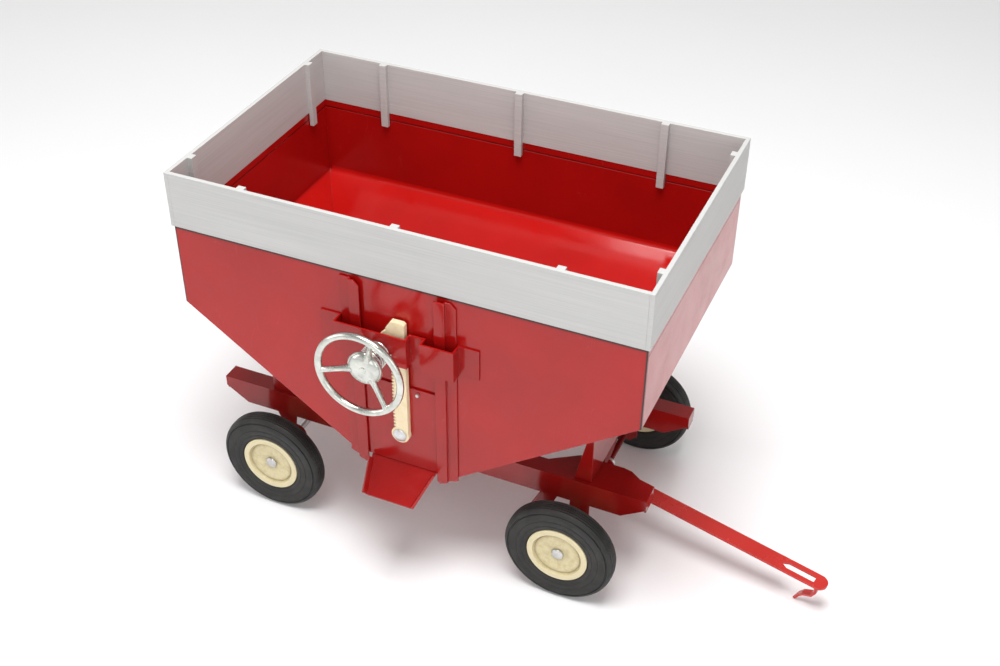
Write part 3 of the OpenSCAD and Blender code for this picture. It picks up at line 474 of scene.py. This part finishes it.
def tyre_rubber(name, centre):
    """Black rubber with a grey bloom and the mould's rings."""
    made, nodes, shader, place = start_finish(name, Roughness=0.6, Specular_IOR_Level=0.42)
    far, moved = axle_distance(nodes, place, centre)
    ringed = add_node(nodes, "ShaderNodeCombineXYZ", X=far, Y=0.0, Z=0.0).outputs[0]
    rings = noise(nodes, ringed, 1500, 3, 0.6)
    bloom = ranged(nodes, noise(nodes, moved, 90, 5, 0.65), 0.4, 0.75)
    body = mixed(nodes, bloom, BLACK, BLOOM)
    body = mixed(nodes, ranged(nodes, rings, 0.55, 0.75, 0.0, 0.5), body, RING_DUST)
    nodes.links.new(body, shader.inputs["Base Color"])
    matt = ranged(nodes, noise(nodes, moved, 160, 4), 0.3, 0.7, 0.48, 0.72)
    nodes.links.new(matt, shader.inputs["Roughness"])
    fine = bumped(nodes, shader, noise(nodes, moved, 1400, 3), 0.12, 0.1 * MM)
    bumped(nodes, shader, rings, 0.35, 0.12 * MM, under=fine)
    return made


print("helper: tyre_rubber")

# %% [markdown]
# ### Plated and bare steel
# The handwheel is chrome over a rough casting, the spring is bright wire, the axles are drawn rod and
# the rivets are zinc. All are metals with a cloudy polish: the same noise dims the colour and
# roughens the surface, so dull spots look dull in both ways. Stretched grain suits the drawn rod.

# %% Plated and bare steel
def bright_metal(name, colour, smooth, rough, pits=0.3, grain=None):
    """A metal whose polish wanders from smooth to rough."""
    made, nodes, shader, place = start_finish(name, Metallic=1.0, Roughness=smooth)
    cloud = noise(nodes, place, 260, 5, 0.7)
    tone = ranged(nodes, cloud, 0.35, 0.7)
    body = mixed(nodes, tone, colour, tuple(c * 0.74 for c in colour))
    nodes.links.new(body, shader.inputs["Base Color"])
    nodes.links.new(ranged(nodes, cloud, 0.35, 0.72, smooth, rough), shader.inputs["Roughness"])
    texture = noise(nodes, place, 1100, 3, 0.6, stretch=grain)
    bumped(nodes, shader, texture, pits, 0.08 * MM)
    return made


handwheel_chrome = bright_metal("handwheel_chrome", (0.66, 0.68, 0.63), 0.12, 0.36, 0.45)
spring_steel = bright_metal("spring_steel", (0.66, 0.65, 0.63), 0.16, 0.32, 0.15)
axle_steel = bright_metal("axle_steel", (0.58, 0.58, 0.57), 0.26, 0.44, 0.35, (6, 0.4, 6))
rivet_zinc = bright_metal("rivet_zinc", (0.70, 0.71, 0.71), 0.3, 0.5, 0.4)
print("metals:", [m.name for m in (handwheel_chrome, spring_steel, axle_steel, rivet_zinc)])

# %% [markdown]
# ### Layered grey boards
# The sideboards are printed in layers a fifth of a millimetre high. From arm's length the layers run
# together into fine level streaks, so stretched noise gives the colour, and a wave with the true layer
# height gives the ridges that show close up. The top edge is one flat layer, so wherever the surface
# faces up it has a plain tone, kept at the light end as painted light from above.

# %% Layered grey boards
LAYER_WAVE = 1571.0
LIT_TOP_GREY = (0.49, 0.49, 0.48)

board_grey, nodes, shader, place = start_finish("layered_grey", Roughness=0.5)
streaks = noise(nodes, place, 1.0, 4, 0.65, stretch=(16, 16, 1900))
body = mixed(nodes, ranged(nodes, streaks, 0.3, 0.7), (0.40, 0.402, 0.395), (0.49, 0.49, 0.48))
broad = noise(nodes, place, 1.0, 2, 0.5, stretch=(9, 9, 150))
body = mixed(nodes, ranged(nodes, broad, 0.35, 0.7, 0.0, 0.35), body, (0.51, 0.509, 0.497))
normal = add_node(nodes, "ShaderNodeNewGeometry").outputs["Normal"]
facing_up = add_node(nodes, "ShaderNodeSeparateXYZ", Vector=normal).outputs["Z"]
# Painted light: surfaces that face up take the lighter grey.
body = mixed(nodes, ranged(nodes, facing_up, 0.6, 0.9), body, LIT_TOP_GREY)
nodes.links.new(body, shader.inputs["Base Color"])
layers = add_node(nodes, "ShaderNodeTexWave", {"bands_direction": "Z"}, Vector=place,
                  Scale=LAYER_WAVE, Distortion=0.3, Detail=1.0).outputs["Fac"]
ridge = bumped(nodes, shader, layers, 0.22, 0.05 * MM)
bumped(nodes, shader, streaks, 0.35, 0.08 * MM, under=ridge)
print("boards:", board_grey.name)

# %% [markdown]
# ## From bmesh to piece
# Every piece ends the same way: a bmesh becomes an object at the origin, gets its finish, rides on a
# body of the wagon and stands for its plain CAD node. Curved faces shade smoothly and creases stay
# sharp. On flat sheets with small bevels a weighted normal keeps the large faces truly flat to the eye.

# %% From bmesh to piece
def settle(name, bm, finish, slot, *nodes, crease=32, even=True, body=None):
    """Makes bm an object that stands for the CAD nodes and rides on their body."""
    mesh = bpy.data.meshes.new(name)
    bm.to_mesh(mesh)
    bm.free()
    mesh.shade_smooth()
    mesh.set_sharp_from_angle(angle=math.radians(crease))
    mesh.materials.append(finish)
    made = bpy.data.objects.new(name, mesh)
    scene.collection.objects.link(made)
    if even:
        level = made.modifiers.new("even_shading", "WEIGHTED_NORMAL")
        level.keep_sharp = True
    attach(made, body or frame["nodes"][nodes[0]]["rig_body"])
    if nodes:
        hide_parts(*nodes)
    return made


print("helper: settle")

# %% [markdown]
# ## Pressed parts
# Folded and pressed parts start from a copy of the CAD node, so their sizes can't drift. The copy
# comes as loose triangles: they are merged, and flat ones dissolved into whole faces. Then only the
# sharp edges are bevelled, with a radius in millimetres, and the light catches every one of them. A
# Bevel modifier would do it too, but the operator shows what it made.

# %% Pressed parts
def edges_sharper(bm, degrees):
    """The edges where two faces turn by more than an angle."""
    return [e for e in bm.edges
            if len(e.link_faces) == 2 and e.calc_face_angle(0) > math.radians(degrees)]


def soften_edges(bm, radius, segments, sharper):
    """Rounds every edge that is sharper than an angle, by a radius in mm."""
    bmesh.ops.bevel(bm, geom=edges_sharper(bm, sharper), offset=radius * MM, offset_type="OFFSET",
                    affect="EDGES", segments=segments, profile=0.5, material=-1, clamp_overlap=True)


def pressed(node, radius, finish, slot, segments=2, sharper=24):
    """A pressed or moulded part: the CAD shape with every sharp edge rounded by radius in mm."""
    bm = bmesh.new()
    bm.from_mesh(frame["nodes"][node].data)
    bmesh.ops.remove_doubles(bm, verts=bm.verts, dist=0.002 * MM)
    bmesh.ops.dissolve_limit(bm, angle_limit=math.radians(0.6), verts=bm.verts, edges=bm.edges)
    soften_edges(bm, radius, segments, sharper)
    made = settle(node + "_finished", bm, finish, slot, node)
    print(made.name, len(made.data.polygons), "faces")


print("helpers: edges_sharper, soften_edges, pressed")

# %% [markdown]
# ## Hopper
# The hopper is seven pieces of thin sheet that meet in folds and welds: two side panels, two end
# walls and three sloping floors that lead to the gate. Its outer edges are rounded more than its inner
# ones can be at this thickness, so one radius of a third of the sheet suits all.

# %% Hopper sheets
for node, finish in (("near_panel", panel_red), ("far_wall", wall_red), ("back_floor", hopper_red),
                     ("left_end_wall", wall_red), ("left_floor", hopper_red),
                     ("right_end_wall", end_red), ("right_floor", hopper_red)):
    pressed(node, 0.28, finish, "hopper_paint")

# %% [markdown]
# ### Paint in the long fold
# The far wall and the sloping floor are one bent sheet, and paint pools in the bend. A thin concave
# strip along the bend gives it the small radius that catches a long highlight. It starts as one
# curved line of points from up the wall to a little way down the slope, and is extruded along the
# hopper.

# %% Paint in the long fold
SHEET = 0.9 * MM
ARM = 2.2 * MM
CURVE_STEPS = 8
PROUD = Vector((0, -0.02, 0.05)) * MM
END_GAP = 2 * MM

wall_low, wall_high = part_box("far_wall")
slope_low, slope_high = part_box("back_floor")
steepness = (slope_high.z - slope_low.z) / (slope_high.y - slope_low.y)
bend = Vector((wall_low.x + END_GAP, wall_high.y - SHEET, wall_low.z + 0.35 * SHEET)) + PROUD
strip_bm = bmesh.new()
curve = []
for step in range(CURVE_STEPS + 1):
    t = step / CURVE_STEPS
    rise = (1 - t) ** 2 - steepness * t * t
    curve.append(strip_bm.verts.new(bend + ARM * Vector((0, -t * t, rise))))
line = [strip_bm.edges.new(pair) for pair in zip(curve, curve[1:])]
grown = bmesh.ops.extrude_edge_only(strip_bm, edges=line)["geom"]
bmesh.ops.translate(strip_bm, verts=[g for g in grown if isinstance(g, bmesh.types.BMVert)],
                    vec=(wall_high.x - wall_low.x - 2 * END_GAP, 0, 0))
bmesh.ops.recalc_face_normals(strip_bm, faces=strip_bm.faces)
bmesh.ops.solidify(strip_bm, geom=strip_bm.faces, thickness=0.04 * MM)
made = settle("far_fold_strip", strip_bm, hopper_red, "hopper_paint", even=False,
              body=frame["nodes"]["far_wall"]["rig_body"])
print(made.name, len(made.data.polygons), "faces; the slope falls", round(steepness, 3), "in 1")

# %% [markdown]
# ## Gate side fittings
# The guides, the bracket that carries the handwheel, the spout and the gate itself are bent strips,
# so their folds matter: light runs along every one of them. The thinner the strip, the smaller the
# radius it can take before its two edges meet.

# %% Gate side fittings
for node, radius in (("left_guide", 0.26), ("right_guide", 0.26), ("wheel_bracket", 0.3),
                     ("spout", 0.28), ("gate_plate", 0.22)):
    pressed(node, radius, fitting_red, "fitting_paint")

# %% [markdown]
# ## Running gear
# Rails, bolsters and hangers come off the same press in a darker red, partly a darker coat and partly
# painted shade for parts under the hopper. The apron under the hopper's front hangs deeper in shade, and
# its darker, duller red is painted shade. The tongue is a narrow folded strip that gets handled, and its
# longer edges deserve one more step in the bevel.

# %% Running gear
GEAR_RADIUS = 0.28

# Painted shade: the apron takes the darkest, dullest red.
pressed("bolster_apron", GEAR_RADIUS, dull_shade_red, "gear_paint")
for node in ("near_rail", "far_rail", "front_bolster", "rear_bolster",
             "front_near_hanger", "front_far_hanger", "rear_near_hanger", "rear_far_hanger",
             "tongue_clevis"):
    pressed(node, GEAR_RADIUS, gear_red, "gear_paint")
pressed("tongue", 0.3, tongue_red, "gear_paint", 3)
pressed("tongue_rivet", 0.2, gear_red, "gear_paint")

# %% [markdown]
# ## Sideboards
# The four boards drop inside the hopper's rim on their ribs. They keep nearly square edges, as
# printed parts do, so their radius is half that of the pressed sheets.

# %% Sideboards
for node in ("near_sideboard", "far_sideboard", "left_sideboard", "right_sideboard"):
    pressed(node, 0.16, board_grey, "sideboard_plastic")

# %% [markdown]
# ## Round parts
# Wheels, rods and rivets are turned shapes. A profile of points, each a radius and a distance along
# the axle, is spun a full turn with the ends merged, and then laid along Y at its place. A profile
# that starts on the axle closes itself; one with a bore gets one more edge to close its section.

# %% Round parts
FULL_TURN = 2 * math.pi


def turned(profile, steps, centre, side=-1, soften=0.0, sharper=35):
    """Spins a profile of (radius, distance) in mm about Y. Distances run to -Y, or to +Y if side is 1."""
    bm = bmesh.new()
    ring = [bm.verts.new((r * MM, side * d * MM, 0)) for r, d in profile]
    edges = [bm.edges.new((a, b)) for a, b in zip(ring, ring[1:])]
    has_bore = profile[0] != profile[-1] and profile[0][0] > 0
    if has_bore:
        edges.append(bm.edges.new((ring[-1], ring[0])))
    bmesh.ops.spin(bm, geom=ring + edges, cent=(0, 0, 0), axis=(0, 1, 0), angle=FULL_TURN,
                   steps=steps, use_merge=True)
    bmesh.ops.remove_doubles(bm, verts=bm.verts, dist=0.0001 * MM)
    bmesh.ops.recalc_face_normals(bm, faces=bm.faces)
    if soften:
        soften_edges(bm, soften, 2, sharper)
    bmesh.ops.translate(bm, verts=bm.verts, vec=centre)
    return bm


def middle(node):
    """The middle of a CAD node's box."""
    low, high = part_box(node)
    return (low + high) / 2


print("helpers: turned, middle; front axle at", [round(v / MM, 1) for v in middle("front_axle")])

# %% [markdown]
# ### Where a wheel stands
# A wheel's parts are all drawn from the face that looks at the wagon, so one profile serves both
# sides. The CAD node's box gives that face's place, which way is out, the width and the radius.

# %% Where a wheel stands
WHEELS = ("front_near", "front_far", "rear_near", "rear_far")


def wheel_place(node):
    """A wheel part's hub, its inner face, its outward side, and its width and radius in mm."""
    low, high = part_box(node)
    hub = (low + high) / 2
    side = -1 if hub.y < middle("front_axle").y else 1
    inner_face = Vector((hub.x, high.y if side < 0 else low.y, hub.z))
    return hub, inner_face, side, (high.y - low.y) / MM, (high.z - low.z) / 2 / MM


for wheel in WHEELS:
    print(wheel, "hub", [round(v / MM, 1) for v in wheel_place(wheel + "_tyre")[0]])

# %% [markdown]
# ### Tyres
# The toy tyre is one moulding: a bulging sidewall with two fine beads, a rounded shoulder and a tread
# of narrow ribs. The beads are where a real tyre would carry its lettering. Modelling them, and not
# only bumping them, gives the sidewall its broken highlight from any side.

# %% Tyres
RIM_RADIUS = 13.8
TREAD_EDGE, TREAD_RIBS, CROWN_DROP = 2.0, 4, 0.22


def tyre_profile(rim, outer, width):
    """A closed section: outer sidewall, ribs across the tread, and the same sidewall inside."""
    wall = [(rim, width - 1.0), (rim + 0.25, width - 0.5), (rim + 0.9, width - 0.16),
            (rim + 2.0, width - 0.02), (rim + 2.3, width - 0.22), (rim + 2.55, width - 0.22),
            (rim + 2.85, width - 0.01), (rim + 4.6, width), (rim + 4.85, width - 0.2),
            (rim + 5.1, width - 0.2), (rim + 5.4, width - 0.02), (outer - 3.1, width - 0.03),
            (outer - 2.75, width - 0.1), (outer - 2.6, width - 0.55), (outer - 2.2, width - 0.6),
            (outer - 1.95, width - 0.3), (outer - 1.5, width - 0.42), (outer - 1.0, width - 0.8),
            (outer - 0.6, width - 1.25), (outer - 0.35, width - 1.7)]
    tread = []
    across = width - 2 * TREAD_EDGE
    for rib in range(TREAD_RIBS):
        a = width - TREAD_EDGE - rib * across / TREAD_RIBS
        b = a - across / TREAD_RIBS
        top_a, top_b = (outer - CROWN_DROP * (2 * (d - width / 2) / across) ** 2 for d in (a, b))
        tread += [(top_a - 0.4, a), (top_a, a - 0.12), (top_b, b + 0.32), (top_b - 0.4, b + 0.2)]
    return wall + tread + [(r, width - d) for r, d in reversed(wall)]


for wheel in WHEELS:
    hub, inner_face, side, width, outer = wheel_place(wheel + "_tyre")
    bm = turned(tyre_profile(RIM_RADIUS, outer - 0.01, width), 160, inner_face, side)
    made = settle(wheel + "_tyre_finished", bm, tyre_rubber(wheel + "_rubber", hub), "tyre_rubber",
                  wheel + "_tyre", crease=38, even=False)
    print(made.name, len(made.data.polygons), "faces, radius", round(outer, 2), "mm")

# %% [markdown]
# ### Rims
# A rim is a cream disc with a flat outer ring, a narrow groove inside it and a shallow dish. The small
# flats between them are what catch the light, so each corner gets a fine bevel after the spin. The
# back is hollow round a hub, as a moulding of even thickness is.

# %% Rims
def rim_profile(width):
    """From the bore along the back of the rim, out to the tyre, and in again over its face."""
    back = [(1.47, width - 1.6), (1.47, 0.0), (3.9, 0.0), (3.9, width - 6.0), (9.4, width - 7.2),
            (11.8, 1.2), (13.78, 1.2)]
    ring = [(13.78, width - 0.15), (13.5, width - 0.02), (11.25, width - 0.02)]
    groove = [(11.1, width - 0.8), (10.85, width - 1.5), (10.4, width - 1.5), (10.15, width - 1.12)]
    dish = [(8.6, width - 1.05), (5.0, width - 1.2), (4.4, width - 1.6)]
    return back + ring + groove + dish


for wheel in WHEELS:
    hub, inner_face, side, width, _ = wheel_place(wheel + "_rim")
    bm = turned(rim_profile(width), 128, inner_face, side, soften=0.14)
    made = settle(wheel + "_rim_finished", bm, cream_plastic(wheel + "_cream", hub), "rim_plastic",
                  wheel + "_rim", crease=40)
    print(made.name, len(made.data.polygons), "faces")

# %% [markdown]
# ### Axles
# Each axle is one drawn rod with a crimp inside each wheel, which keeps the wheel out, and a
# flat-domed head outside it, which keeps the wheel on. The rod is symmetrical, so one end's profile is
# mirrored for the other. The front rod's middle takes the apron's dark, dull red as painted shade, and
# only its ends stay bright, so its faces there take a second finish.

# %% Axles
ROD_RADIUS = 1.4
SHADE_RED_HALF = 38 * MM

for node in ("front_axle", "rear_axle"):
    low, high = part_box(node)
    mid = (low + high) / 2
    half = (high.y - low.y) / 2 / MM
    neck = half - 0.8
    head = [(0.0, half), (1.6, half - 0.06), (2.3, half - 0.22), (2.66, half - 0.5),
            (2.7, neck + 0.12), (2.62, neck), (ROD_RADIUS, neck)]
    crimp = [(ROD_RADIUS, 44.5), (2.0, 43.9), (2.0, 42.7), (ROD_RADIUS, 42.1)]
    profile = head + crimp + [(r, -d) for r, d in reversed(head + crimp)]
    made = settle(node + "_finished", turned(profile, 48, mid), axle_steel, "bright_steel", node,
                  crease=40, even=False)
    # Painted shade: the front rod's middle takes the dark shaded red.
    if node == "front_axle":
        made.data.materials.append(dull_shade_red)
        for face in made.data.polygons:
            face.material_index = int(abs(face.center.y - mid.y) < SHADE_RED_HALF)
    print(made.name, len(made.data.polygons), "faces")

# %% [markdown]
# ### Rivets, stud, collars and shaft
# The smallest metal parts are already round in the CAD model. They need only a softened rim and a
# zinc finish, and a steeper limit for what counts as an edge leaves their round sides alone.

# %% Rivets, stud, collars and shaft
for node, radius in (("axle_collars", 0.15), ("rack_rivet", 0.2), ("gate_stop_stud", 0.15),
                     ("handwheel_shaft", 0.2)):
    pressed(node, radius, rivet_zinc, "bright_steel", 2, 40)

# %% [markdown]
# ## Gate drive
# The rack is riveted to the gate and climbs when the pinion turns. Both are moulded, with small radii
# on every tooth. The pinion is mostly hidden by the handwheel, so its bevel has a single step.

# %% Gate drive
pressed("gate_rack", 0.14, drive_cream, "drive_plastic", 2, 28)
pressed("pinion", 0.12, drive_cream, "drive_plastic", 1, 28)

# %% [markdown]
# ### Handwheel ring
# The wheel is a round bar bent into a ring, three spokes and a domed hub. The ring is a small circle
# spun about the shaft. Everything is first built about the origin and moved to the shaft at the end,
# because turning and leaning the spokes is easiest there.

# %% Handwheel ring
BAR = 1.5 * MM

low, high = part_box("handwheel")
shaft = middle("handwheel_shaft")
ring_r = (high.x - low.x) / 2 - BAR
ring_y = low.y + BAR


def spun_bar(bm, bar, far, segments, steps, **spin):
    """A round bar spun about Y at a distance from it: a ring, or a coil if the spin climbs."""
    section = bmesh.ops.create_circle(bm, segments=segments, radius=bar,
                                      matrix=Matrix.Translation((far, 0, 0)))["verts"]
    loop = list({e for v in section for e in v.link_edges})
    bmesh.ops.spin(bm, geom=section + loop, cent=(0, 0, 0), axis=(0, 1, 0), steps=steps, **spin)


wheel_bm = bmesh.new()
spun_bar(wheel_bm, BAR, ring_r, 28, 120, angle=FULL_TURN, use_merge=True)
print("handwheel ring", round(2 * (ring_r + BAR) / MM, 1), "mm across,", len(wheel_bm.faces), "faces")

# %% [markdown]
# ### Spokes and hub
# A spoke is a turned rod that swells where it meets the hub and the ring, laid between the two and
# leaning towards the hand, because the ring stands proud of the hub. The hub is a shallow dome with
# the shaft's end in the middle. The parts overlap, and chrome over the joints hides that, as it hides
# the fillets of a casting.

# %% Spokes and hub
SPOKE_IN = 5.4
SPOKE_LEAN = 4.0
SPOKE_ANGLES = (190, 310, 70)
HUB_BACK = 4.6 * MM
AXIS_START = Vector((0, 0, 0))
TOWARDS_HAND = Vector((0, -1, 0))


def lay_in(target, part, matrix):
    """Places a part and adds it to a bigger bmesh."""
    bmesh.ops.transform(part, matrix=matrix, verts=part.verts)
    spare = bpy.data.meshes.new("spare")
    part.to_mesh(spare)
    part.free()
    target.from_mesh(spare)
    bpy.data.meshes.remove(spare)


across = ring_r / MM - SPOKE_IN
length = math.hypot(across, SPOKE_LEAN)
rod = [(0.0, 0.0), (1.9, 0.0), (1.55, 1.6), (1.28, 3.6), (1.2, length * 0.6), (1.28, length - 1.8),
       (1.6, length - 0.4), (1.2, length + 0.4), (0.0, length + 0.4)]
for degrees in SPOKE_ANGLES:
    angle = math.radians(degrees)
    outwards = Vector((math.cos(angle), 0, math.sin(angle)))
    aim = (outwards * across + TOWARDS_HAND * SPOKE_LEAN).normalized()
    swing = TOWARDS_HAND.rotation_difference(aim).to_matrix().to_4x4()
    start = outwards * SPOKE_IN * MM - TOWARDS_HAND * SPOKE_LEAN * MM
    lay_in(wheel_bm, turned(rod, 24, AXIS_START), Matrix.Translation(start) @ swing)
dome = [(0.0, 2.05), (1.3, 2.05), (1.45, 1.85), (1.7, 1.9), (3.2, 2.35), (4.6, 2.3), (6.2, 1.75),
        (7.1, 0.9), (7.6, 0.1), (7.6, -0.5), (7.0, -1.2), (4.0, -1.6), (3.4, -3.0), (0.0, -3.0)]
lay_in(wheel_bm, turned(dome, 72, AXIS_START), Matrix.Translation((0, HUB_BACK, 0)))
bmesh.ops.translate(wheel_bm, verts=wheel_bm.verts, vec=(shaft.x, ring_y, shaft.z))
bmesh.ops.recalc_face_normals(wheel_bm, faces=wheel_bm.faces)
made = settle("handwheel_finished", wheel_bm, handwheel_chrome, "handwheel_chrome", "handwheel",
              crease=50, even=False)
print(made.name, len(made.data.polygons), "faces")

# %% [markdown]
# ## Spring
# A spring behind the handwheel holds the gate by friction. A helix is a spin that also climbs: the
# spin operator's dvec moves each step along the axis. Its two ends stay open, so they are filled.

# %% Spring
WIRE = 0.42 * MM
TURNS, STEPS = 5, 44

low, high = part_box("handwheel_spring")
centre = (low + high) / 2
climb = (high.y - low.y - 2 * WIRE) / (TURNS * STEPS)
spring_bm = bmesh.new()
spun_bar(spring_bm, WIRE, (high.x - low.x) / 2 - WIRE, 12, TURNS * STEPS,
         angle=FULL_TURN * TURNS, dvec=(0, -climb, 0), use_merge=False)
bmesh.ops.holes_fill(spring_bm, edges=[e for e in spring_bm.edges if e.is_boundary], sides=0)
bmesh.ops.recalc_face_normals(spring_bm, faces=spring_bm.faces)
bmesh.ops.translate(spring_bm, verts=spring_bm.verts, vec=(centre.x, high.y - WIRE, centre.z))
made = settle("spring_finished", spring_bm, spring_steel, "bright_steel", "handwheel_spring",
              crease=60, even=False)
print(made.name, len(made.data.polygons), "faces")
